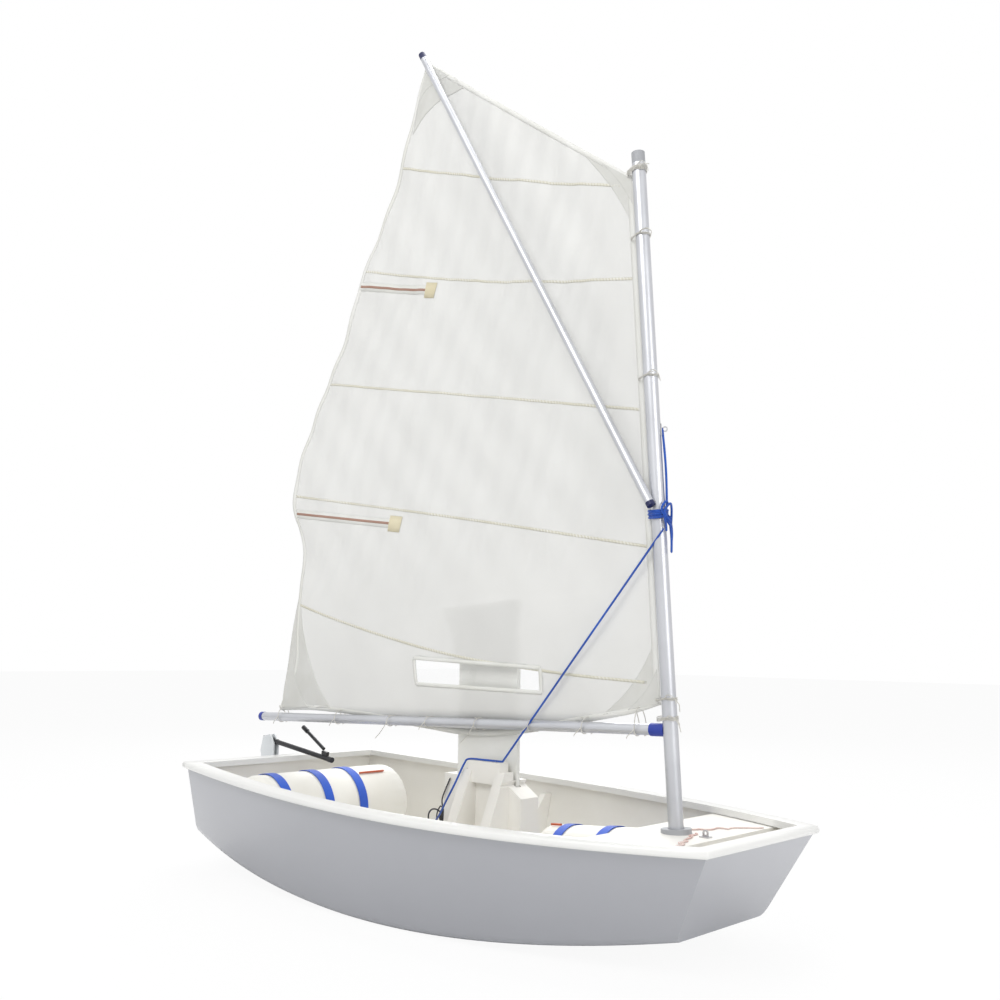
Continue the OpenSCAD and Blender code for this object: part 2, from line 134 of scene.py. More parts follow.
@dataclass(frozen=True)
class Finish:
    """One surface finish: two close tones mixed by noise, a roughness and a fine pattern.

    Fields hold the two tones, their noise scale, the roughness and its spread, and the pattern's scale
    and depth.
    """

    name: str
    tone: tuple[float, float, float]
    second: tuple[float, float, float]
    rough: float = 0.45
    spread: float = 0.08
    metal: float = 0.0
    coat: float = 0.0
    patch_scale: float = 6.0
    weave: Weave = Weave.GRAIN
    weave_scale: float = 400.0
    depth: float = 0.05
    alpha: float = 1.0
    sheen: float = 0.0
    ior: float = 1.45

    def material(self) -> bpy.types.Material:
        """Build the material.

        Returns:
            A node material reading Object coordinates, or the piece's own UV map for woven patterns.
        """
        mat = bpy.data.materials.new(self.name)
        mat.use_nodes = True
        tree = mat.node_tree
        nodes, links = tree.nodes, tree.links
        shader = nodes["Principled BSDF"]
        coord = nodes.new("ShaderNodeTexCoord")
        source = coord.outputs["UV" if self.weave in (Weave.BRAID, Weave.STITCH) else "Object"]
        cloudy = nodes.new("ShaderNodeTexNoise")
        cloudy.inputs["Scale"].default_value = self.patch_scale
        cloudy.inputs["Detail"].default_value = 6.0
        links.new(coord.outputs["Object"], cloudy.inputs["Vector"])
        ramp = nodes.new("ShaderNodeValToRGB")
        ramp.color_ramp.elements[0].position = 0.35
        ramp.color_ramp.elements[0].color = (*self.second, 1)
        ramp.color_ramp.elements[1].position = 0.65
        ramp.color_ramp.elements[1].color = (*self.tone, 1)
        links.new(cloudy.outputs["Fac"], ramp.inputs["Fac"])
        colour = ramp.outputs["Color"]
        height = self._pattern(tree, source)
        if self.weave in (Weave.BRAID, Weave.STITCH):
            mix = nodes.new("ShaderNodeMix")
            mix.data_type = "RGBA"
            mix.inputs["A"].default_value = (*self.second, 1)
            links.new(height, mix.inputs["Factor"])
            links.new(colour, mix.inputs["B"])
            colour = mix.outputs["Result"]
        links.new(colour, shader.inputs["Base Color"])
        uneven = nodes.new("ShaderNodeMapRange")
        uneven.inputs["To Min"].default_value = max(0.02, self.rough - self.spread)
        uneven.inputs["To Max"].default_value = min(1.0, self.rough + self.spread)
        links.new(cloudy.outputs["Fac"], uneven.inputs["Value"])
        links.new(uneven.outputs["Result"], shader.inputs["Roughness"])
        if self.weave is not Weave.NONE:
            bump = nodes.new("ShaderNodeBump")
            bump.inputs["Strength"].default_value = self.depth
            bump.inputs["Distance"].default_value = 0.001
            links.new(height, bump.inputs["Height"])
            links.new(bump.outputs["Normal"], shader.inputs["Normal"])
        shader.inputs["Metallic"].default_value = self.metal
        shader.inputs["Coat Weight"].default_value = self.coat
        shader.inputs["Coat Roughness"].default_value = 0.12
        shader.inputs["IOR"].default_value = self.ior
        shader.inputs["Sheen Weight"].default_value = self.sheen
        shader.inputs["Alpha"].default_value = self.alpha
        return mat

    def _pattern(self, tree: bpy.types.NodeTree, source: bpy.types.NodeSocket) -> bpy.types.NodeSocket:
        """Add the nodes of the fine pattern.

        Args:
            tree: The material's node tree.
            source: The coordinates the pattern follows.

        Returns:
            The socket with the pattern's height, from 0 to 1.
        """
        nodes, links = tree.nodes, tree.links
        place = nodes.new("ShaderNodeMapping")
        links.new(source, place.inputs["Vector"])
        if self.weave in (Weave.BRAID, Weave.STITCH):
            place.inputs["Rotation"].default_value = (0, 0, math.radians(32))
            wave = nodes.new("ShaderNodeTexWave")
            wave.inputs["Scale"].default_value = self.weave_scale
            wave.inputs["Distortion"].default_value = 0.4
            links.new(place.outputs["Vector"], wave.inputs["Vector"])
            return wave.outputs["Fac"]
        noise = nodes.new("ShaderNodeTexNoise")
        noise.inputs["Scale"].default_value = self.weave_scale
        noise.inputs["Detail"].default_value = 3.0
        if self.weave is Weave.BRUSHED:
            place.inputs["Scale"].default_value = (1, 1, 0.02)
        if self.weave is Weave.CLOTH:
            place.inputs["Scale"].default_value = (1, 1, 0.6)
        links.new(place.outputs["Vector"], noise.inputs["Vector"])
        return noise.outputs["Fac"]


FINISHES: dict[str, Finish] = {f.name: f for f in (
    Finish("hull_gelcoat", (0.430, 0.438, 0.468), (0.418, 0.426, 0.455), 0.30, 0.04, coat=0.3,
           patch_scale=1.6, depth=0.03),
    Finish("rail_white", (0.86, 0.86, 0.84), (0.84, 0.84, 0.82), 0.32, 0.08, coat=0.2, depth=0.04),
    Finish("moulding_white", (0.90, 0.885, 0.84), (0.87, 0.85, 0.80), 0.42, 0.1, coat=0.1, depth=0.08,
           weave_scale=180.0),
    Finish("collar_grey", (0.42, 0.43, 0.45), (0.36, 0.37, 0.39), 0.5, 0.1, depth=0.1),
    Finish("fitting_steel", (0.62, 0.62, 0.63), (0.52, 0.52, 0.54), 0.3, 0.08, metal=1.0,
           weave=Weave.BRUSHED, weave_scale=300.0, depth=0.06),
    Finish("bag_white", (0.88, 0.87, 0.82), (0.83, 0.81, 0.75), 0.42, 0.08, weave=Weave.CLOTH,
           weave_scale=700.0, depth=0.12, sheen=0.1),
    Finish("strap_blue", (0.02, 0.11, 0.62), (0.015, 0.08, 0.50), 0.6, 0.1, weave=Weave.CLOTH,
           weave_scale=900.0, depth=0.4, sheen=0.2),
    Finish("tube_red", (0.62, 0.13, 0.05), (0.5, 0.09, 0.03), 0.4, 0.1),
    Finish("block_black", (0.02, 0.02, 0.022), (0.035, 0.035, 0.037), 0.38, 0.1, depth=0.1),
    Finish("spar_silver", (0.60, 0.61, 0.64), (0.54, 0.55, 0.58), 0.36, 0.07, metal=0.75,
           weave=Weave.BRUSHED, weave_scale=260.0, depth=0.05),
    Finish("plug_dark", (0.40, 0.41, 0.43), (0.34, 0.35, 0.37), 0.5, 0.1, depth=0.1),
    Finish("cap_blue", (0.025, 0.05, 0.34), (0.02, 0.035, 0.26), 0.4, 0.1, depth=0.08),
    Finish("cap_navy", (0.012, 0.015, 0.07), (0.02, 0.025, 0.1), 0.4, 0.1, depth=0.08),
    Finish("rope_blue", (0.01, 0.13, 0.66), (0.006, 0.07, 0.42), 0.62, 0.08, weave=Weave.BRAID,
           weave_scale=120.0, depth=0.8, sheen=0.2),
    Finish("cord_white", (0.88, 0.87, 0.83), (0.76, 0.74, 0.68), 0.65, 0.08, weave=Weave.BRAID,
           weave_scale=200.0, depth=0.8),
    Finish("cord_black", (0.02, 0.02, 0.025), (0.05, 0.05, 0.06), 0.6, 0.08, weave=Weave.BRAID,
           weave_scale=150.0, depth=0.8),
    Finish("painter_flecked", (0.84, 0.80, 0.76), (0.72, 0.50, 0.46), 0.6, 0.08, weave=Weave.BRAID,
           weave_scale=60.0, depth=0.6),
    Finish("sailcloth", (0.85, 0.85, 0.83), (0.81, 0.81, 0.79), 0.42, 0.08, patch_scale=2.5,
           weave=Weave.CLOTH, weave_scale=38.0, depth=0.5, alpha=0.74, sheen=0.1),
    Finish("patch_cloth", (0.80, 0.80, 0.77), (0.75, 0.75, 0.71), 0.5, 0.08, patch_scale=9.0,
           weave=Weave.CLOTH, weave_scale=60.0, depth=0.3, alpha=0.82),
    Finish("seam_tape", (0.83, 0.82, 0.77), (0.66, 0.64, 0.53), 0.6, 0.08, weave=Weave.STITCH,
           weave_scale=26.0, depth=0.5),
    Finish("hem_tape", (0.85, 0.85, 0.82), (0.79, 0.79, 0.74), 0.55, 0.08, weave=Weave.CLOTH,
           weave_scale=300.0, depth=0.3, alpha=0.95),
    Finish("window_film", (0.94, 0.96, 0.97), (0.91, 0.93, 0.95), 0.08, 0.04, weave=Weave.GRAIN,
           weave_scale=6.0, depth=0.1, alpha=0.06),
    Finish("batten_brown", (0.42, 0.26, 0.20), (0.36, 0.21, 0.16), 0.5, 0.1),
    Finish("patch_beige", (0.74, 0.68, 0.50), (0.68, 0.61, 0.42), 0.6, 0.08, depth=0.2),
    Finish("board_white", (0.86, 0.86, 0.82), (0.81, 0.81, 0.77), 0.3, 0.08, coat=0.2, depth=0.03),
    Finish("head_white", (0.78, 0.81, 0.82), (0.72, 0.75, 0.77), 0.4, 0.08, depth=0.06),
    Finish("tiller_black", (0.02, 0.02, 0.024), (0.035, 0.036, 0.04), 0.33, 0.07, metal=0.3,
           weave=Weave.BRUSHED, weave_scale=260.0, depth=0.05),
)}
_made: dict[str, bpy.types.Material] = {}


def finish(name: str) -> bpy.types.Material:
    """Return the material of a finish, built once.

    Args:
        name: A key of FINISHES.

    Returns:
        The shared material.
    """
    if name not in _made:
        _made[name] = FINISHES[name].material()
    return _made[name]


# ---- Surfaces ---------------------------------------------------------------------------------

def grid_faces(rows: int, cols: int, around: bool = False) -> np.ndarray:
    """Quads of a grid whose rows follow each other; around joins the last column to the first.

    Args:
        rows: Number of rows of points.
        cols: Number of points in a row.
        around: Whether each row closes on itself.

    Returns:
        An array of quads, four point numbers each.
    """
    i, j = np.meshgrid(np.arange(rows - 1), np.arange(cols if around else cols - 1), indexing="ij")
    a = (i * cols + j).ravel()
    b = (i * cols + (j + 1) % cols).ravel()
    return np.stack([a, b, b + cols, a + cols], axis=1)


def add_mesh(name: str, points: Points, quads: np.ndarray, look: str, body: str,
             tris: np.ndarray | None = None, uv: np.ndarray | None = None) -> bpy.types.Object:
    """Put computed points and faces into a new smooth-shaded object that rides on a body.

    Args:
        name: The object's name.
        points: Positions in the row frame, one row each.
        quads: Four point numbers to a face.
        look: Finish name.
        body: The body it rides on.
        tris: Extra triangles, three point numbers each.
        uv: One pair for each point.

    Returns:
        The new object, at the origin.
    """
    points = points.reshape(-1, 3)
    faces = quads.tolist() + ([] if tris is None else tris.tolist())
    mesh = bpy.data.meshes.new(name)
    mesh.from_pydata(points.tolist(), [], faces)
    mesh.polygons.foreach_set("use_smooth", np.ones(len(faces), bool))
    if uv is not None:
        layer = mesh.uv_layers.new(name="flat")
        index = np.empty(len(mesh.loops), np.int32)
        mesh.loops.foreach_get("vertex_index", index)
        layer.data.foreach_set("uv", uv.reshape(-1, 2)[index].ravel().astype(np.float32))
    mesh.materials.append(finish(look))
    mesh.update()
    obj = bpy.data.objects.new(name, mesh)
    bpy.context.scene.collection.objects.link(obj)
    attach(obj, body)
    return obj


def join_strips(strips: Sequence[tuple[Points, np.ndarray]], flip: Sequence[bool]
                ) -> tuple[Points, np.ndarray, np.ndarray]:
    """Stack separate grids into one set of points, quads and UVs.

    Args:
        strips: For each grid its points (rows, cols, 3) and UVs (rows, cols, 2).
        flip: For each grid whether its faces turn over.

    Returns:
        All points, all quads and all UVs.
    """
    pts, quads, uvs, base = [], [], [], 0
    for (p, t), turn in zip(strips, flip):
        q = grid_faces(p.shape[0], p.shape[1])
        quads.append((q[:, ::-1] if turn else q) + base)
        pts.append(p.reshape(-1, 3))
        uvs.append(t.reshape(-1, 2))
        base += len(pts[-1])
    return np.concatenate(pts), np.concatenate(quads), np.concatenate(uvs)


def through(knots: Sequence[Sequence[float]], count: int) -> Points:
    """Smooth curve through knots, spaced evenly: each span is a cubic whose end slopes are half the chord
    between the neighbours on both sides.

    Args:
        knots: The points the curve passes.
        count: How many points to return.

    Returns:
        The points along the curve.
    """
    k = np.asarray(knots, float)
    k = np.vstack([2 * k[0] - k[1], k, 2 * k[-1] - k[-2]])
    t = np.linspace(0, len(k) - 3 - 1e-9, count * 4)
    i = t.astype(int)
    f = (t - i)[:, None]
    p0, p1, p2, p3 = k[i], k[i + 1], k[i + 2], k[i + 3]
    c = 0.5 * (2 * p1 + (p2 - p0) * f + (2 * p0 - 5 * p1 + 4 * p2 - p3) * f**2
               + (3 * p1 - p0 - 3 * p2 + p3) * f**3)
    run = np.concatenate([[0], np.cumsum(np.linalg.norm(np.diff(c, axis=0), axis=1))])
    even = np.linspace(0, run[-1], count)
    return np.stack([np.interp(even, run, c[:, d]) for d in range(c.shape[1])], axis=1)


def rope(name: str, path: Points, radius: float, look: str, body: str,
         sides: int = 12) -> bpy.types.Object:
    """Round rope along a path: a circle carried along it on a frame that turns as little as it can, with
    closed round ends.

    Args:
        name: The object's name.
        path: Centre line, evenly spaced.
        radius: Rope radius.
        look: Finish name.
        body: The body it rides on.
        sides: Points round the rope.

    Returns:
        The new object.
    """
    tan = np.gradient(path, axis=0)
    tan /= np.linalg.norm(tan, axis=1)[:, None] + 1e-12
    start = np.cross(tan[0], (0, 0, 1.0) if abs(tan[0][2]) < 0.9 else (1.0, 0, 0))
    side = [start / np.linalg.norm(start)]
    for t in tan[1:]:
        v = side[-1] - t * np.dot(side[-1], t)
        side.append(v / np.linalg.norm(v))
    a = np.array(side)
    b = np.cross(tan, a)
    ang = np.linspace(0, 2 * np.pi, sides, endpoint=False)
    ends = np.concatenate([[0.5, 0.87], np.ones(len(path) - 4), [0.87, 0.5]])
    ring = a[:, None, :] * np.cos(ang)[None, :, None] + b[:, None, :] * np.sin(ang)[None, :, None]
    skin = path[:, None, :] + radius * ends[:, None, None] * ring
    n, last = len(path), len(path) * sides
    bulge = radius * 0.2
    pts = np.vstack([skin.reshape(-1, 3), path[0] - tan[0] * bulge, path[-1] + tan[-1] * bulge])
    j = np.arange(sides)
    tail = (n - 1) * sides
    tris = np.vstack([np.stack([np.full(sides, last), (j + 1) % sides, j], 1),
                      np.stack([np.full(sides, last + 1), tail + j, tail + (j + 1) % sides], 1)])
    run = np.concatenate([[0], np.cumsum(np.linalg.norm(np.diff(path, axis=0), axis=1))])
    uv = np.stack(np.meshgrid(run, ang * radius, indexing="ij"), axis=2).reshape(-1, 2)
    uv = np.vstack([uv, uv[0], uv[-1]])
    return add_mesh(name, pts, grid_faces(n, sides, around=True), look, body, tris, uv)


def solid(obj: bpy.types.Object, thickness: float) -> None:
    """Give a sheet its thickness, kept on both sides of its surface.

    Args:
        obj: The sheet.
        thickness: In metres.
    """
    wall = obj.modifiers.new("thickness", "SOLIDIFY")
    wall.thickness = thickness
    wall.offset = 0.0


def smooth_copy(node: str, slot: str, body: str, angle: float) -> bpy.types.Object:
    """Copy a CAD node's mesh, merge it and shade it smooth except past an angle.

    Args:
        node: CAD node it stands for.
        slot: Finish and record slot.
        body: The body it rides on.
        angle: Edges sharper than this stay sharp, in degrees.

    Returns:
        The new object.
    """
    mesh = FRAME["nodes"][node].data.copy()
    mesh.name = node + "_skin"
    mesh.transform(FRAME["nodes"][node].matrix_world)
    work = bmesh.new()
    work.from_mesh(mesh)
    bmesh.ops.remove_doubles(work, verts=work.verts, dist=2e-5)
    for face in work.faces:
        face.smooth = True
    for edge in work.edges:
        edge.smooth = not (len(edge.link_faces) == 2 and edge.calc_face_angle(0.0) > math.radians(angle))
    work.to_mesh(mesh)
    work.free()
    if mesh.has_custom_normals:
        mesh.attributes.remove(mesh.attributes["custom_normal"])
    mesh.materials.clear()
    mesh.materials.append(finish(slot))
    obj = bpy.data.objects.new(node + "_skin", mesh)
    bpy.context.scene.collection.objects.link(obj)
    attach(obj, body)
    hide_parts(node)
    return obj


# ---- Sub-assemblies ---------------------------------------------------------------------------

@dataclass
class RigPlane:
    """The plane of mast, boom and sail: u runs aft of the mast's axis, y to port, s up the mast."""

    foot: tuple[float, float, float] = (2.0136 + STERN, 0.0, 0.093)
    rake: float = 3.27
    swing: float = 2.75

    def place(self, u: np.ndarray, y: np.ndarray, s: np.ndarray) -> Points:
        """Turn plane sizes into row positions: swing about the mast, then rake, then the foot's place.

        Args:
            u: Distances aft.
            y: Distances to port.
            s: Heights up the mast.

        Returns:
            Positions, with the last axis of length three.
        """
        a, r = math.radians(self.swing), math.radians(self.rake)
        x0, y0, z0 = np.broadcast_arrays(-np.asarray(u, float), np.asarray(y, float), np.asarray(s, float))
        x1, y1 = x0 * math.cos(a) - y0 * math.sin(a), x0 * math.sin(a) + y0 * math.cos(a)
        x2, z2 = x1 * math.cos(r) - z0 * math.sin(r), x1 * math.sin(r) + z0 * math.cos(r)
        return np.stack([x2 + self.foot[0], y1 + self.foot[1], z2 + self.foot[2]], axis=-1)


@dataclass
class Sail:
    """Loose four-cornered sprit sail with tapes, patches, battens and a clear window."""

    plane: RigPlane
    rows: int = 230
    cols: int = 170
    leech: Sequence[tuple[float, float]] = (
        (1.898, 0.606), (1.840, 0.70), (1.791, 0.808), (1.787, 1.014), (1.769, 1.286), (1.819, 1.434),
        (1.773, 1.653), (1.685, 1.856), (1.531, 2.106), (1.401, 2.378), (1.192, 2.705), (0.984, 3.165))
    foot: Sequence[tuple[float, float]] = (
        (0.030, 0.603), (0.15, 0.575), (0.38, 0.545), (0.60, 0.515), (0.825, 0.508), (1.05, 0.532),
        (1.35, 0.572), (1.65, 0.602), (1.898, 0.606))
    head: Sequence[tuple[float, float]] = ((0.027, 2.306), (0.34, 2.585), (0.66, 2.872), (0.984, 3.165))
    seams: Sequence[tuple[tuple[float, float], ...]] = (
        ((0.030, 2.273), (0.6, 2.52), (1.150, 2.768)), ((0.034, 1.953), (0.75, 2.17), (1.385, 2.392)),
        ((0.030, 1.515), (0.8, 1.735), (1.615, 1.955)), ((0.030, 1.079), (0.9, 1.29), (1.800, 1.496)),
        ((0.030, 0.665), (0.45, 0.715), (0.95, 0.80), (1.45, 0.93), (1.775, 1.034)))
    battens: Sequence[tuple[tuple[float, float], tuple[float, float]]] = (
        ((1.415, 2.335), (1.013, 2.208)), ((1.800, 1.421), (1.200, 1.302)))
    window: Sequence[tuple[float, float]] = ((1.092, 0.787), (0.492, 0.729), (0.487, 0.648), (1.078, 0.692))
    patches: Sequence[tuple[tuple[float, float], ...]] = (
        ((0.984, 3.160), (1.085, 2.88), (0.746, 2.955)), ((0.030, 2.300), (0.255, 2.500), (0.030, 2.130)),
        ((1.880, 0.612), (1.778, 1.110), (1.560, 0.606)), ((0.034, 0.606), (0.034, 0.80), (0.25, 0.572)))

    def lean(self, u: np.ndarray, s: np.ndarray) -> np.ndarray:
        """How far the cloth lies to port: past the boom at the foot, a shallow belly above, and long low
        folds that run down from the throat and the peak, each the sine of a slanting distance.

        Args:
            u: Distances aft of the mast.
            s: Heights up the mast.

        Returns:
            Distances to port, in metres.
        """
        boom_top = boom_axis(u) + 0.0255
        near_foot = 1 / (1 + np.exp(np.clip((s - boom_top) / 0.006, -60, 60)))
        aft = np.clip((u - 0.03) / 0.25, 0, 1)
        aft = aft * aft * (3 - 2 * aft)
        bell = np.sin(np.pi * np.clip(u / 1.85, 0, 1))
        bell = bell * np.clip((s - 0.95) / 0.9, 0, 1) * np.clip((3.2 - s) / 1.0, 0, 1)
        low = 0.010 * aft * np.clip((s - 0.72) / 0.25, 0, 1)
        folds = (0.0042 * np.sin(21 * (0.62 * u + 0.78 * s) + 1.7 * np.sin(3.1 * u)) +
                 0.0034 * np.sin(34 * (0.83 * u - 0.55 * s) + 2.1 * np.sin(2.3 * s)) +
                 0.0022 * np.sin(63 * (0.92 * u + 0.39 * s) + 1.3 * np.sin(6 * s)))
        ripple = 0.010 * np.clip((u - 1.45) / 0.4, 0, 1) * np.sin(11.0 * s + 0.6)
        ripple = ripple * np.clip((s - 0.7) / 0.3, 0, 1)
        free = np.clip((s - 1.02) / 0.25, 0, 1) * 0.75 + 0.25
        return aft * (0.0205 * near_foot + folds * free) + low + 0.045 * bell * aft + ripple

    def cloth_points(self, shift: float, uvs: np.ndarray) -> Points:
        """Row positions of flat cloth places moved off the cloth by shift metres to port.

        Args:
            shift: Distance to port of the cloth.
            uvs: Flat places (..., 2) as (u, s).

        Returns:
            Positions (..., 3).
        """
        return self.plane.place(uvs[..., 0], self.lean(uvs[..., 0], uvs[..., 1]) + shift, uvs[..., 1])

    def flat_grid(self) -> np.ndarray:
        """Flat places of the cloth: foot, head, luff and leech curves blended so each edge is kept, as the
        sum of the two straight blends less the corner blend.

        Returns:
            An array (rows, cols, 2) of (u, s).
        """
        t = np.linspace(0, 1, self.cols)[None, :, None]
        h = np.linspace(0, 1, self.rows)[:, None, None]
        foot, head = through(self.foot, self.cols)[None], through(self.head, self.cols)[None]
        luff = through(((0.030, 0.603), (0.027, 1.4), (0.027, 2.306)), self.rows)[:, None]
        leech = through(self.leech, self.rows)[:, None]
        corner = ((1 - t) * (1 - h) * foot[:, :1] + t * (1 - h) * foot[:, -1:] + (1 - t) * h * head[:, :1]
                  + t * h * head[:, -1:])
        return (1 - h) * foot + h * head + (1 - t) * luff + t * leech - corner

    def strip(self, line: Flat, width: float, shift: float, count: int = 160) -> tuple[Points, np.ndarray]:
        """Narrow tape along a line on the cloth, half its width to each side.

        Args:
            line: Knots of the line as (u, s).
            width: Tape width.
            shift: Distance off the cloth, to port.
            count: Points along it.

        Returns:
            Points (count, 3, 3) and UVs (count, 3, 2) in metres along and across.
        """
        mid = through(line, count)
        tan = np.gradient(mid, axis=0)
        tan /= np.linalg.norm(tan, axis=1)[:, None]
        across = np.stack([-tan[:, 1], tan[:, 0]], axis=1)
        w = np.linspace(-0.5, 0.5, 3) * width
        flat = mid[:, None, :] + across[:, None, :] * w[None, :, None]
        run = np.concatenate([[0], np.cumsum(np.linalg.norm(np.diff(mid, axis=0), axis=1))])
        uv = np.stack(np.broadcast_arrays(run[:, None], w[None, :]), axis=2)
        return self.cloth_points(shift, flat), uv

    def trim(self, name: str, lines: Sequence[Flat], width: float, lift: float, look: str,
             thick: float = 0.0004) -> bpy.types.Object:
        """One object with a tape on both faces of the cloth along each line.

        Args:
            name: The object's name.
            lines: Knots of each tape.
            width: Tape width.
            lift: Distance off the cloth's middle.
            look: Finish name.
            thick: Tape thickness.

        Returns:
            The new object.
        """
        strips = [self.strip(line, width, lift * side.value) for line in lines for side in Side]
        pts, quads, uv = join_strips(strips, [side is Side.PORT for _ in lines for side in Side])
        obj = add_mesh(name, pts, quads, look, "rig", uv=uv)
        solid(obj, thick)
        return obj

    def corner(self, name: str, corners: Flat, lift: float, look: str) -> bpy.types.Object:
        """Corner patch on both faces: rays from the corner to a slightly hollow far edge.

        Args:
            name: The object's name.
            corners: The corner, then the two ends of the far edge.
            lift: Distance off the cloth's middle.
            look: Finish name.

        Returns:
            The new object.
        """
        c, a, b = (np.array(k) for k in corners)
        r = np.linspace(0.03, 1, 30)[:, None, None]
        f = np.linspace(0.02, 0.98, 30)[None, :, None]
        far = (1 - f) * a + f * b + (c - (a + b) / 2) * 0.18 * np.sin(np.pi * f)
        flat = c + r * (far - c)
        strips = [(self.cloth_points(lift * side.value, flat), flat) for side in Side]
        pts, quads, uv = join_strips(strips, [False, True])
        obj = add_mesh(name, pts, quads, look, "rig", uv=uv)
        solid(obj, 0.0004)
        return obj

    def cut_window(self, flat: np.ndarray, quads: np.ndarray) -> np.ndarray:
        """Leave out the faces whose middle lies inside the window.

        Args:
            flat: Flat grid of the cloth.
            quads: Its faces.

        Returns:
            The faces that stay.
        """
        mid = flat.reshape(-1, 2)[quads].mean(axis=1)
        box = np.array(self.window)
        edges = np.roll(box, -1, axis=0) - box
        rel = mid[:, None, :] - box[None]
        turn = edges[None, :, 0] * rel[..., 1] - edges[None, :, 1] * rel[..., 0]
        inside = (turn > 0).all(axis=1) | (turn < 0).all(axis=1)
        return quads[~inside]

    def cloth(self) -> tuple[bpy.types.Object, float]:
        """Make the cloth with its window cut out.

        Returns:
            The cloth, and its flat area in square metres.
        """
        flat = self.flat_grid()
        places = flat.reshape(-1, 2)
        kept = self.cut_window(flat, grid_faces(self.rows, self.cols))
        used, index = np.unique(kept, return_inverse=True)
        points = self.cloth_points(0.0, flat).reshape(-1, 3)[used]
        cloth = add_mesh("sail_cloth", points, index.reshape(-1, 4), "sailcloth", "rig",
                         uv=places[used])
        solid(cloth, 0.0005)
        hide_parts("sail")
        corners = places[kept]
        one = corners[:, 2] - corners[:, 0]
        other = corners[:, 3] - corners[:, 1]
        area = 0.5 * np.abs(one[:, 0] * other[:, 1] - other[:, 0] * one[:, 1]).sum()
        return cloth, area

    def tapes(self) -> list[bpy.types.Object]:
        """Make the seam tapes, then the hem of each edge a little inside it.

        Returns:
            The tapes and hems.
        """
        lift = 0.0009
        leech = [(u - 0.008, s) for u, s in self.leech]
        luff = [(0.040, 0.62), (0.037, 1.4), (0.037, 2.29)]
        foot = [(u, s + 0.010) for u, s in self.foot]
        head = [(u, s - 0.010) for u, s in self.head]
        return [self.trim("seam_tapes", self.seams, 0.009, 0.0008, "seam_tape"),
                self.trim("leech_hem", [leech], 0.016, lift, "hem_tape"),
                self.trim("luff_hem", [luff], 0.022, lift, "hem_tape"),
                self.trim("foot_hem", [foot], 0.020, lift, "hem_tape"),
                self.trim("head_hem", [head], 0.018, lift, "hem_tape")]

    def batten(self, number: int, outer: Sequence[float], inner: Sequence[float]) -> list[bpy.types.Object]:
        """Make a batten, its pocket and the patch at its inner end.

        Args:
            number: Counts the battens from the top.
            outer: Flat place of the end at the leech.
            inner: Flat place of the other end.

        Returns:
            The three pieces.
        """
        line = [outer, inner]
        tip = np.array(inner)
        ahead = tip - np.array(outer)
        ahead /= np.linalg.norm(ahead)
        patch = [tuple(tip - ahead * 0.035), tuple(tip + ahead * 0.025)]
        return [self.trim(f"batten_{number}_pocket", [line], 0.036, 0.0010, "hem_tape"),
                self.trim(f"batten_{number}", [line], 0.010, 0.0014, "batten_brown", 0.0006),
                self.trim(f"batten_{number}_patch", [patch], 0.062, 0.0019, "patch_beige")]

    def patch(self, number: int, corners: Flat) -> list[bpy.types.Object]:
        """Make a corner patch and the smaller one sewn on it.

        Args:
            number: Counts the corners.
            corners: The corner, then the two ends of the far edge.

        Returns:
            The two patches.
        """
        share = 0.55
        tip = np.array(corners[0])
        near = [tuple(tip + share * (np.array(k) - tip)) for k in corners[1:]]
        return [self.corner(f"corner_patch_{number}", corners, 0.0008, "patch_cloth"),
                self.corner(f"corner_patch_{number}_inner", (corners[0], *near), 0.0013, "patch_cloth")]

    def window_pieces(self) -> list[bpy.types.Object]:
        """Make the clear film of the window and the tape round it.

        Returns:
            The film and the tape.
        """
        count = 24
        p = np.linspace(0, 1, count)
        fore, up = p[None, :, None], p[:, None, None]
        box = np.array(self.window)
        a, b, c, d = box
        film = (1 - fore) * ((1 - up) * a + up * d) + fore * ((1 - up) * b + up * c)
        pane = add_mesh("sail_window", self.cloth_points(0.0, film), grid_faces(count, count), "window_film",
                        "rig", uv=film)
        solid(pane, 0.0004)
        after = np.roll(box, -1, axis=0)
        sides = [[tuple(k), tuple((k + n) / 2), tuple(n)] for k, n in zip(box, after)]
        return [pane, self.trim("window_tape", sides, 0.014, 0.0012, "hem_tape")]

    def build(self) -> None:
        """Make the cloth and every piece sewn on it."""
        cloth, area = self.cloth()
        sewn = self.tapes()
        for number, (outer, inner) in enumerate(self.battens, 1):
            sewn += self.batten(number, outer, inner)
        for number, corners in enumerate(self.patches, 1):
            sewn += self.patch(number, corners)
        sewn += self.window_pieces()
        log.info("sail: %.3f square metres of cloth, %d sewn pieces", area, len(sewn))


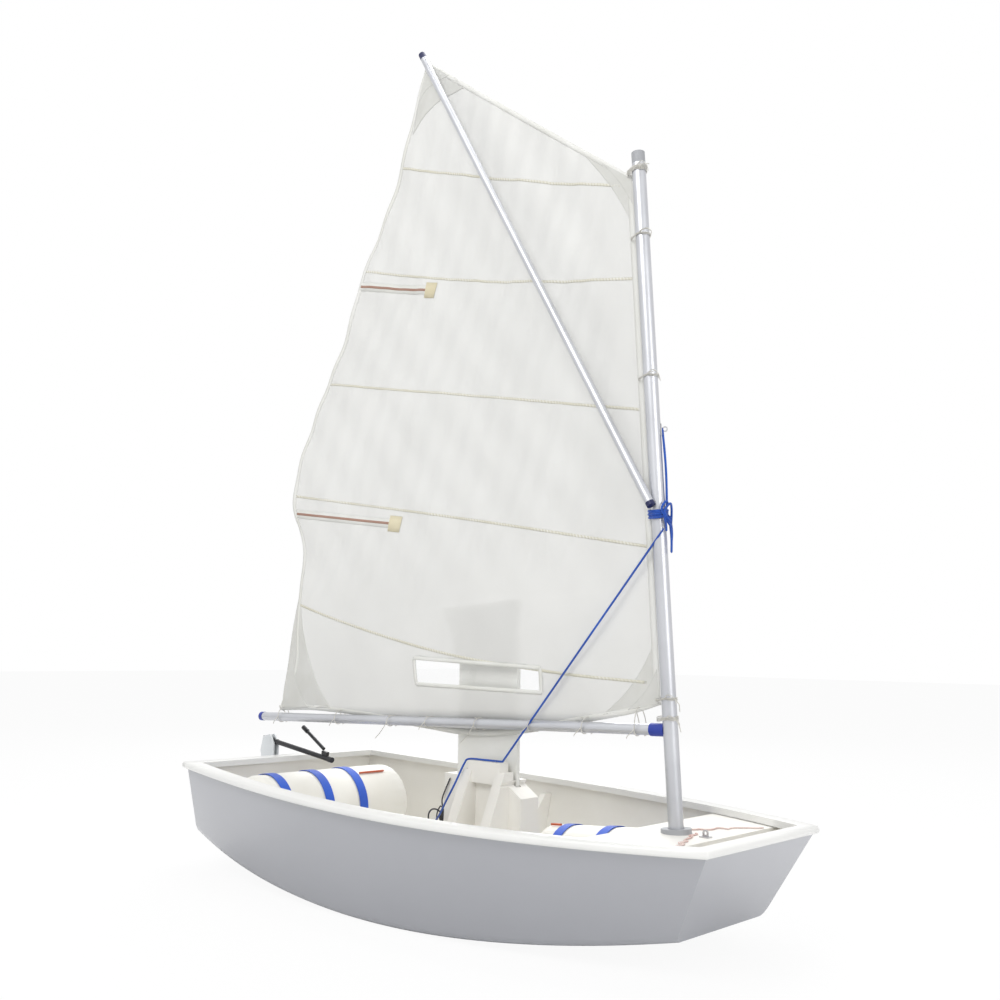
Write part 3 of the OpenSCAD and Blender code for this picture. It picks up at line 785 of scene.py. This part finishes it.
@dataclass
class Bag:
    """Air bag drawn in under its straps: a round profile whose ends are rounded and puckered."""

    name: str
    node: str
    centre: tuple[float, float, float]
    along: tuple[float, float, float]
    radius: float
    length: float
    end: float
    straps: Sequence[float]

    def build(self) -> bpy.types.Object:
        """Make the bag: radius over length is a rounded box profile, less a shallow dip at each strap, plus
        gathers near the ends that follow the cosine of many times the angle.

        Returns:
            The bag.
        """
        n, m = 150, 120
        half, c = self.length / 2, self.end
        w = np.linspace(-1, 1, n + 2)[1:-1]
        z = half * np.sin(w * np.pi / 2)
        over = np.clip(np.abs(z) - (half - c), 0, c) / c
        r = self.radius - c + c * np.sqrt(np.clip(1 - over**2, 0, 1))
        near = np.clip(half - np.abs(z), 0, 1)
        r = np.where(near < 0.0035, r * np.clip(near / 0.0035, 0.05, 1), r)
        dip = sum(0.0022 * np.exp(-((z - s) / 0.026) ** 2) for s in self.straps)
        ang = np.linspace(0, 2 * np.pi, m, endpoint=False)
        gather = np.clip(1 - (half - np.abs(z)) / 0.13, 0, 1)[:, None] ** 2 * (r / self.radius)[:, None]
        wave = 0.5 * np.cos(23 * ang)[None, :] + 0.5 * np.cos(37 * ang + 1.1)[None, :]
        full = r[:, None] - dip[:, None] - 0.0022 * gather * (1 + wave) - 0.0008
        axis = np.array(self.along) / np.linalg.norm(self.along)
        side = np.cross(axis, (0, 0, 1.0))
        side /= np.linalg.norm(side)
        up = np.cross(side, axis)
        ring = np.cos(ang)[None, :, None] * side + np.sin(ang)[None, :, None] * up
        pts = np.array(self.centre) + z[:, None, None] * axis + full[..., None] * ring
        poles = np.array(self.centre) + np.array([[-half + 0.0005], [half - 0.0005]]) * axis
        j = np.arange(m)
        last, tail = n * m, (n - 1) * m
        tris = np.vstack([np.stack([np.full(m, last), (j + 1) % m, j], 1),
                          np.stack([np.full(m, last + 1), tail + j, tail + (j + 1) % m], 1)])
        obj = add_mesh(self.name, np.vstack([pts.reshape(-1, 3), poles]), grid_faces(n, m, around=True),
                       "bag_white", "hull", tris)
        outward(obj)
        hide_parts(self.node)
        log.info("%s: radius %.3f, length %.3f", self.name, self.radius, self.length)
        return obj


def outward(obj: bpy.types.Object) -> None:
    """Turn a closed piece's faces outward.

    Args:
        obj: The piece.
    """
    work = bmesh.new()
    work.from_mesh(obj.data)
    bmesh.ops.recalc_face_normals(work, faces=work.faces)
    work.to_mesh(obj.data)
    work.free()


@dataclass
class Ropework:
    """Sprit tackle, lacing of the sail, case line, sheet tail and painter."""

    plane: RigPlane
    mast_r: float = 0.0225
    boom_r: float = 0.017
    rope_r: float = 0.0036
    mast_ties: Sequence[tuple[float, int]] = ((2.31, 5), (2.086, 2), (1.613, 2), (0.615, 2), (0.556, 3))
    boom_ties: Sequence[float] = (0.10, 0.30, 0.52, 0.76, 1.0, 1.2, 1.5, 1.86)
    long_tails: Sequence[int] = (4, 6)

    def round_mast(self, s: np.ndarray, turn: np.ndarray, r: np.ndarray) -> Points:
        """Row positions at an angle round the mast: 0 is forward, a quarter turn is port.

        Args:
            s: Heights up the mast.
            turn: Angles in radians.
            r: Distances from the mast's axis.

        Returns:
            Positions (count, 3).
        """
        return self.plane.place(-r * np.cos(turn), r * np.sin(turn), s)

    def tackle(self) -> None:
        """Blue rope doubled from the eye down the mast to a bundle of turns that holds the sprit's heel."""
        for number, turn in enumerate((0.38, 0.72)):
            s = np.linspace(1.448, 1.196, 60)
            r = self.mast_r + self.rope_r + 0.001 + 0.004 * np.sin(np.linspace(0, np.pi, 60))
            path = self.round_mast(s, np.full(60, turn) + 0.04 * np.sin(s * 40), r)
            made = rope(f"sprit_tackle_{number + 1}", path, self.rope_r, "rope_blue", "rig")
            if number == 0:
                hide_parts("snotter_rope")
        t = np.linspace(0, 1, 420)
        turns = 2 * np.pi * 5.0
        s = 1.166 + 0.026 * t + 0.006 * np.sin(turns * t)
        r = self.mast_r + self.rope_r * (1.1 + 0.9 * (np.sin(9.2 * t) ** 2))
        path = self.round_mast(s, 0.4 + turns * t, r)
        rope("sprit_knot_turns", path, self.rope_r, "rope_blue", "rig")
        loops = [(1.200, 0.2, 0.034), (1.212, -0.3, 0.040), (1.190, -0.7, 0.037), (1.160, -0.35, 0.036),
                 (1.140, 0.15, 0.037), (1.155, 0.6, 0.038), (1.195, 0.5, 0.041), (1.205, 0.0, 0.043),
                 (1.180, -0.5, 0.040), (1.150, -0.1, 0.041)]
        k = np.array([self.round_mast(np.array(a), np.array(b), np.array(c)) for a, b, c in loops])
        rope("sprit_knot_crossing", through(k, 160), self.rope_r, "rope_blue", "rig")
        for number, (turn, drop) in enumerate(((0.1, 0.115), (0.45, 0.085), (-0.5, 0.05))):
            f = np.array([0, 0.3, 0.65, 1.0])
            knots = self.round_mast(1.17 - drop * f, turn + 0.15 * f, 0.034 + 0.004 * np.sin(3 * f))
            rope(f"sprit_knot_tail_{number + 1}", through(knots, 50), self.rope_r, "rope_blue",
                 "rig")

    def mast_tie(self, number: int, height: float, turns: int) -> None:
        """White cord turned round the mast and drawn out aft to the luff, with two short tails.

        Args:
            number: Counts the ties from the top.
            height: Where it starts, up the mast.
            turns: How many times it goes round.
        """
        a = np.linspace(0, 2 * np.pi * turns, 60 * turns)
        off = self.mast_r + 0.0026
        aft = np.clip(-np.cos(a), 0, 1)
        u = -np.cos(a) * off * (1 + 0.75 * aft**2)
        s = height + 0.0045 * a / (2 * np.pi) * (1 + 0.3 * np.sin(a)) + 0.002 * np.sin(3 * a)
        path = self.plane.place(u, np.sin(a) * off, s)
        rope(f"mast_tie_{number}", path, 0.0016, "cord_white", "rig", 8)
        rng = np.random.default_rng(number)
        for tail in range(2):
            d = rng.uniform(-1, 1, 3)
            r = -self.mast_r
            p = np.array([(0.0, r - 0.003, height + 0.006),
                          (-0.02 - 0.012 * tail, r - 0.012, height + 0.012 + 0.006 * d[0]),
                          (-0.045 - 0.01 * tail, r - 0.014 + 0.006 * d[1], height + 0.004 - 0.012 * tail),
                          (-0.06 + 0.01 * d[2], r - 0.020, height - 0.010 - 0.022 * tail)])
            path = through(self.plane.place(p[:, 0], p[:, 1], p[:, 2]), 40)
            rope(f"mast_tie_{number}_tail_{tail + 1}", path, 0.0014, "cord_white", "rig", 8)

    def boom_tie(self, number: int, u0: float, edge: float) -> None:
        """White cord looped round the boom and drawn up to the sail's foot, with one tail.

        Args:
            number: Counts the ties from the mast.
            u0: Distance aft of the mast.
            edge: Height of the hole in the sail's foot.
        """
        axis = boom_axis(u0)
        a = np.linspace(-np.pi / 2, 2 * np.pi * 1.5 - np.pi / 2, 110)
        tall = max(1.0, (edge - axis) / (self.boom_r + 0.002))
        y = np.cos(a) * (self.boom_r + 0.0075)
        s = axis + np.sin(a) * (self.boom_r + 0.0024) * np.where(np.sin(a) > 0, tall, 1.0)
        path = self.plane.place(u0 + 0.004 * a, y, s)
        rope(f"boom_tie_{number}", path, 0.0015, "cord_white", "rig", 8)
        long = 0.085 if number in self.long_tails else 0.035
        r = -self.boom_r
        k = np.array([(u0 + 0.012, r - 0.006, axis + 0.004),
                      (u0 + 0.020, r - 0.011, axis - 0.2 * long),
                      (u0 + 0.026 + long * 0.3, r - 0.010, axis - 0.55 * long),
                      (u0 + 0.018 + long * 0.7, r - 0.008, axis - 0.75 * long)])
        path = through(self.plane.place(k[:, 0], k[:, 1], k[:, 2]), 40)
        rope(f"boom_tie_{number}_tail", path, 0.0014, "cord_white", "rig", 8)

    def lacing(self) -> None:
        """Make the ties round the mast, then those round the boom."""
        for number, (height, turns) in enumerate(self.mast_ties, 1):
            self.mast_tie(number, height, turns)
        foot = through(Sail(self.plane).foot, 200)
        for number, u0 in enumerate(self.boom_ties, 1):
            self.boom_tie(number, u0, float(np.interp(u0, foot[:, 0], foot[:, 1])) + 0.012)

    def case_line(self) -> None:
        """Blue line from the mast's knot, straight to the case's lip and down its side to the block."""
        top = self.round_mast(np.array([1.128]), np.array([-0.6]), np.array([0.036]))[0]
        lip = np.array([1.338 + STERN, -0.046, 0.4805])
        straight = top + (lip - top) * np.linspace(0, 1, 60)[:, None]
        down = hull_knots([(1.262, -0.050, 0.4800), (1.192, -0.060, 0.4790), (1.176, -0.0680, 0.462),
                           (1.158, -0.0900, 0.400), (1.112, -0.0880, 0.335), (1.050, -0.0620, 0.278),
                           (0.998, -0.0420, 0.240), (0.975, -0.0300, 0.224)])
        lead = through([straight[-1], *down], 120)
        rope("case_line", np.vstack([straight, lead[1:]]), 0.0034, "rope_blue", "hull")
        tail = hull_knots([(0.985, -0.044, 0.236), (0.955, -0.046, 0.220), (0.938, -0.040, 0.192),
                           (0.946, -0.030, 0.170)])
        rope("case_line_tail", through(tail, 40), 0.0034, "rope_blue", "hull")

    def block_line(self) -> None:
        """Thin black line looped through the block and led up to the case's top."""
        knots = hull_knots([(1.085, -0.0465, 0.405), (1.050, -0.0490, 0.335), (1.030, -0.0300, 0.300),
                            (1.000, -0.0130, 0.296), (0.983, -0.0120, 0.270), (0.985, -0.0120, 0.245),
                            (1.010, -0.0130, 0.230)])
        rope("block_line", through(knots, 90), 0.0024, "cord_black", "hull")
        a = np.linspace(0.3, 2 * np.pi - 0.2, 90)
        x = 0.985 + STERN + 0.040 * np.cos(a)
        loop = np.stack([x, -0.019 - 0.004 * np.sin(a), 0.252 + 0.034 * np.sin(a)], 1)
        rope("block_loop", loop, 0.0028, "cord_black", "hull")

    def painter(self) -> None:
        """Thin flecked cord on the thwart and along the bow, wandering to each side as a slow sine."""
        t = np.linspace(0, 1, 160)
        top = 0.3327
        x = 2.050 + 0.082 * t + 0.006 * np.sin(23 * t) + STERN
        y = 0.02 - 0.20 * t + 0.010 * np.sin(31 * t)
        deck = np.stack([x, y, top + 0.0004 * np.sin(60 * t)], 1)
        rope("painter_deck", deck, 0.0024, "painter_flecked", "hull", 8)
        x = 2.000 + 0.125 * t + 0.008 * np.sin(27 * t) + STERN
        y = 0.060 + 0.20 * t + 0.012 * np.sin(19 * t)
        end = np.stack([x, y, np.full(len(t), top)], 1)
        rope("painter_end", end, 0.0024, "painter_flecked", "hull", 8)

    def build(self) -> None:
        """Make every rope and tie."""
        self.tackle()
        self.lacing()
        self.case_line()
        self.block_line()
        self.painter()
        log.info("ropework: %d mast ties, %d boom ties", len(self.mast_ties), len(self.boom_ties))


@dataclass
class HullLooks:
    """Smooth skins of hull and rail, and the finish of every node of the frame."""

    smooth: Sequence[tuple[str, str, float]] = (
        ("hull_shell", "hull_gelcoat", 42.0), ("gunwale", "rail_white", 62.0),
        ("daggerboard_case", "moulding_white", 24.0))

    def dress(self) -> None:
        """Put each node's finish in its slot."""
        for part in FRAME["record"]["subparts"]:
            node, slot = part["node"], part["material_slot"]
            mesh = FRAME["nodes"][node].data
            if len(mesh.materials):
                mesh.materials[0] = finish(slot)
            else:
                mesh.materials.append(finish(slot))

    def build(self) -> None:
        """Dress the nodes and make the smooth skins, the inside of the hull in the moulding's finish."""
        self.dress()
        for node, slot, angle in self.smooth:
            skin = smooth_copy(node, slot, "hull", angle)
            if node == "hull_shell":
                self.line_inside(skin)
            log.info("%s: %d faces", skin.name, len(skin.data.polygons))

    def line_inside(self, skin: bpy.types.Object) -> None:
        """Give the hull's inner faces the moulding's finish: those whose normal looks towards the cockpit.

        Args:
            skin: The hull's skin.
        """
        mesh = skin.data
        mesh.materials.append(finish("moulding_white"))
        count = len(mesh.polygons)
        mid, normal = np.empty(count * 3), np.empty(count * 3)
        mesh.polygons.foreach_get("center", mid)
        mesh.polygons.foreach_get("normal", normal)
        mid, normal = mid.reshape(-1, 3), normal.reshape(-1, 3)
        heart = np.array([0.125, 0.0, 0.55])
        inner = ((heart - mid) * normal).sum(axis=1) > 0
        mesh.polygons.foreach_set("material_index", inner.astype(np.int32))


@dataclass
class Studio:
    """Pale floor, white surround, soft lamps and the camera."""

    eye: tuple[float, float, float] = (3.817 + STERN, -2.608, 0.852)
    right: tuple[float, float, float] = (0.7160, 0.6980, 0.0128)
    down: tuple[float, float, float] = (-0.0899, 0.1104, -0.9898)
    forward: tuple[float, float, float] = (-0.6923, 0.7075, 0.1418)
    lens: float = 37.5
    lamps: Sequence[tuple[str, tuple[float, float, float], float, float]] = field(default_factory=lambda: (
        ("key", (1.0, -4.5, 5.5), 3.4, 160.0), ("top", (-0.5, 1.5, 6.0), 4.0, 165.0),
        ("back", (-4.0, 4.0, 3.5), 3.0, 95.0), ("bow", (6.0, -1.0, 2.6), 2.6, 70.0)))

    def camera(self) -> None:
        """Place the camera by its three direction rows."""
        data = bpy.data.cameras.new("camera")
        data.lens, data.sensor_width = self.lens, 36.0
        data.clip_end = 60.0
        cam = bpy.data.objects.new("camera", data)
        rows = np.array([self.right, tuple(-v for v in self.down), tuple(-v for v in self.forward)]).T
        u, _, v = np.linalg.svd(rows)
        turn = Matrix((u @ v).tolist()).to_4x4()
        cam.matrix_world = Matrix.Translation(self.eye) @ turn
        bpy.context.scene.collection.objects.link(cam)
        bpy.context.scene.camera = cam

    def surround(self) -> None:
        """White world for the camera, gloss and what is seen through, and a softer light for the rest."""
        world = bpy.data.worlds.new("surround")
        bpy.context.scene.world = world
        world.use_nodes = True
        nodes, links = world.node_tree.nodes, world.node_tree.links
        path = nodes.new("ShaderNodeLightPath")
        seen = nodes.new("ShaderNodeMath")
        seen.operation = "MAXIMUM"
        links.new(path.outputs["Is Camera Ray"], seen.inputs[0])
        links.new(path.outputs["Is Glossy Ray"], seen.inputs[1])
        more = nodes.new("ShaderNodeMath")
        more.operation = "MAXIMUM"
        links.new(seen.outputs[0], more.inputs[0])
        links.new(path.outputs["Is Transmission Ray"], more.inputs[1])
        level = nodes.new("ShaderNodeMapRange")
        level.inputs["To Min"].default_value = 0.52
        level.inputs["To Max"].default_value = 1.0
        links.new(more.outputs[0], level.inputs["Value"])
        back = nodes["Background"]
        back.inputs["Color"].default_value = (1, 1, 1, 1)
        links.new(level.outputs["Result"], back.inputs["Strength"])

    def floor(self) -> None:
        """Pale floor just under the hull, mostly lit by itself where the camera sees it."""
        mat = bpy.data.materials.new("floor_pale")
        mat.use_nodes = True
        n, k = mat.node_tree.nodes, mat.node_tree.links
        diffuse = n["Principled BSDF"]
        diffuse.inputs["Base Color"].default_value = (0.92, 0.92, 0.92, 1)
        diffuse.inputs["Roughness"].default_value = 0.95
        lit = n.new("ShaderNodeEmission")
        lit.inputs["Color"].default_value = (1, 1, 1, 1)
        ray = n.new("ShaderNodeLightPath")
        share = n.new("ShaderNodeMath")
        share.operation = "MULTIPLY"
        share.inputs[1].default_value = 0.93
        k.new(ray.outputs["Is Camera Ray"], share.inputs[0])
        mix = n.new("ShaderNodeMixShader")
        k.new(share.outputs[0], mix.inputs["Fac"])
        k.new(diffuse.outputs[0], mix.inputs[1])
        k.new(lit.outputs[0], mix.inputs[2])
        k.new(mix.outputs[0], n["Material Output"].inputs["Surface"])
        mesh = bpy.data.meshes.new("floor")
        reach, low = 30, -0.0005
        edge = [(-reach, -reach, low), (reach, -reach, low), (reach, reach, low), (-reach, reach, low)]
        mesh.from_pydata(edge, [], [(0, 1, 2, 3)])
        mesh.materials.append(mat)
        floor = bpy.data.objects.new("floor", mesh)
        bpy.context.scene.collection.objects.link(floor)

    def light(self) -> None:
        """Square soft lamps, each turned to the middle of the boat."""
        for name, place, size, watts in self.lamps:
            data = bpy.data.lights.new(name, "AREA")
            data.shape, data.size, data.energy = "SQUARE", size, watts
            lamp = bpy.data.objects.new(name, data)
            from_here = Matrix.Translation(place).to_translation()
            aim = (Matrix.Translation((0.1, 0, 0.9)).to_translation() - from_here).to_track_quat("-Z", "Y")
            lamp.matrix_world = Matrix.Translation(place) @ aim.to_matrix().to_4x4()
            bpy.context.scene.collection.objects.link(lamp)

    def build(self) -> None:
        """Make camera, surround, floor and lamps."""
        self.camera()
        self.surround()
        self.floor()
        self.light()
        bpy.context.scene.view_settings.view_transform = "Standard"
        log.info("studio ready")


def stern_bag() -> Bag:
    """Lay out the bag that lies across the hull at the stern.

    Returns:
        The bag, on the floor under it.
    """
    station, radius = 0.400, 0.145
    slope = math.atan((station - LOWEST) / ROCKER)
    height = keel(station) + FLOOR + (radius + STRAP_RISE) / math.cos(slope) + 0.0003
    centre = (station + STERN, -0.090, height)
    return Bag("stern_air_bag", "stern_bag", centre, (0, 1, 0), radius, 0.690, 0.055, (-0.240, -0.060, 0.097))


def bow_bag() -> Bag:
    """Lay out the bag that lies along the port side at the bow, on the chord of the curved floor.

    Returns:
        The bag, on the floor at both its ends.
    """
    aft, fore, radius = 1.375, 1.875, 0.116
    tilt = math.atan((keel(fore) - keel(aft)) / (fore - aft))
    height = (keel(fore) + keel(aft)) / 2 + FLOOR + (radius + STRAP_RISE) / math.cos(tilt) + 0.002
    return Bag("bow_air_bag", "bow_bag", ((aft + fore) / 2 + STERN, 0.176, height),
               (math.cos(tilt), 0.0, math.sin(tilt)), radius, 0.560, 0.050, (-0.165, 0.015, 0.190))


def main() -> None:
    """Build every sub-assembly in order."""
    logging.basicConfig(level=logging.INFO, format="%(name)s: %(message)s")
    FRAME.update(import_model())
    plane = RigPlane()
    HullLooks().build()
    Sail(plane).build()
    stern_bag().build()
    bow_bag().build()
    Ropework(plane).build()
    Studio().build()


if __name__ == "__main__":
    main()
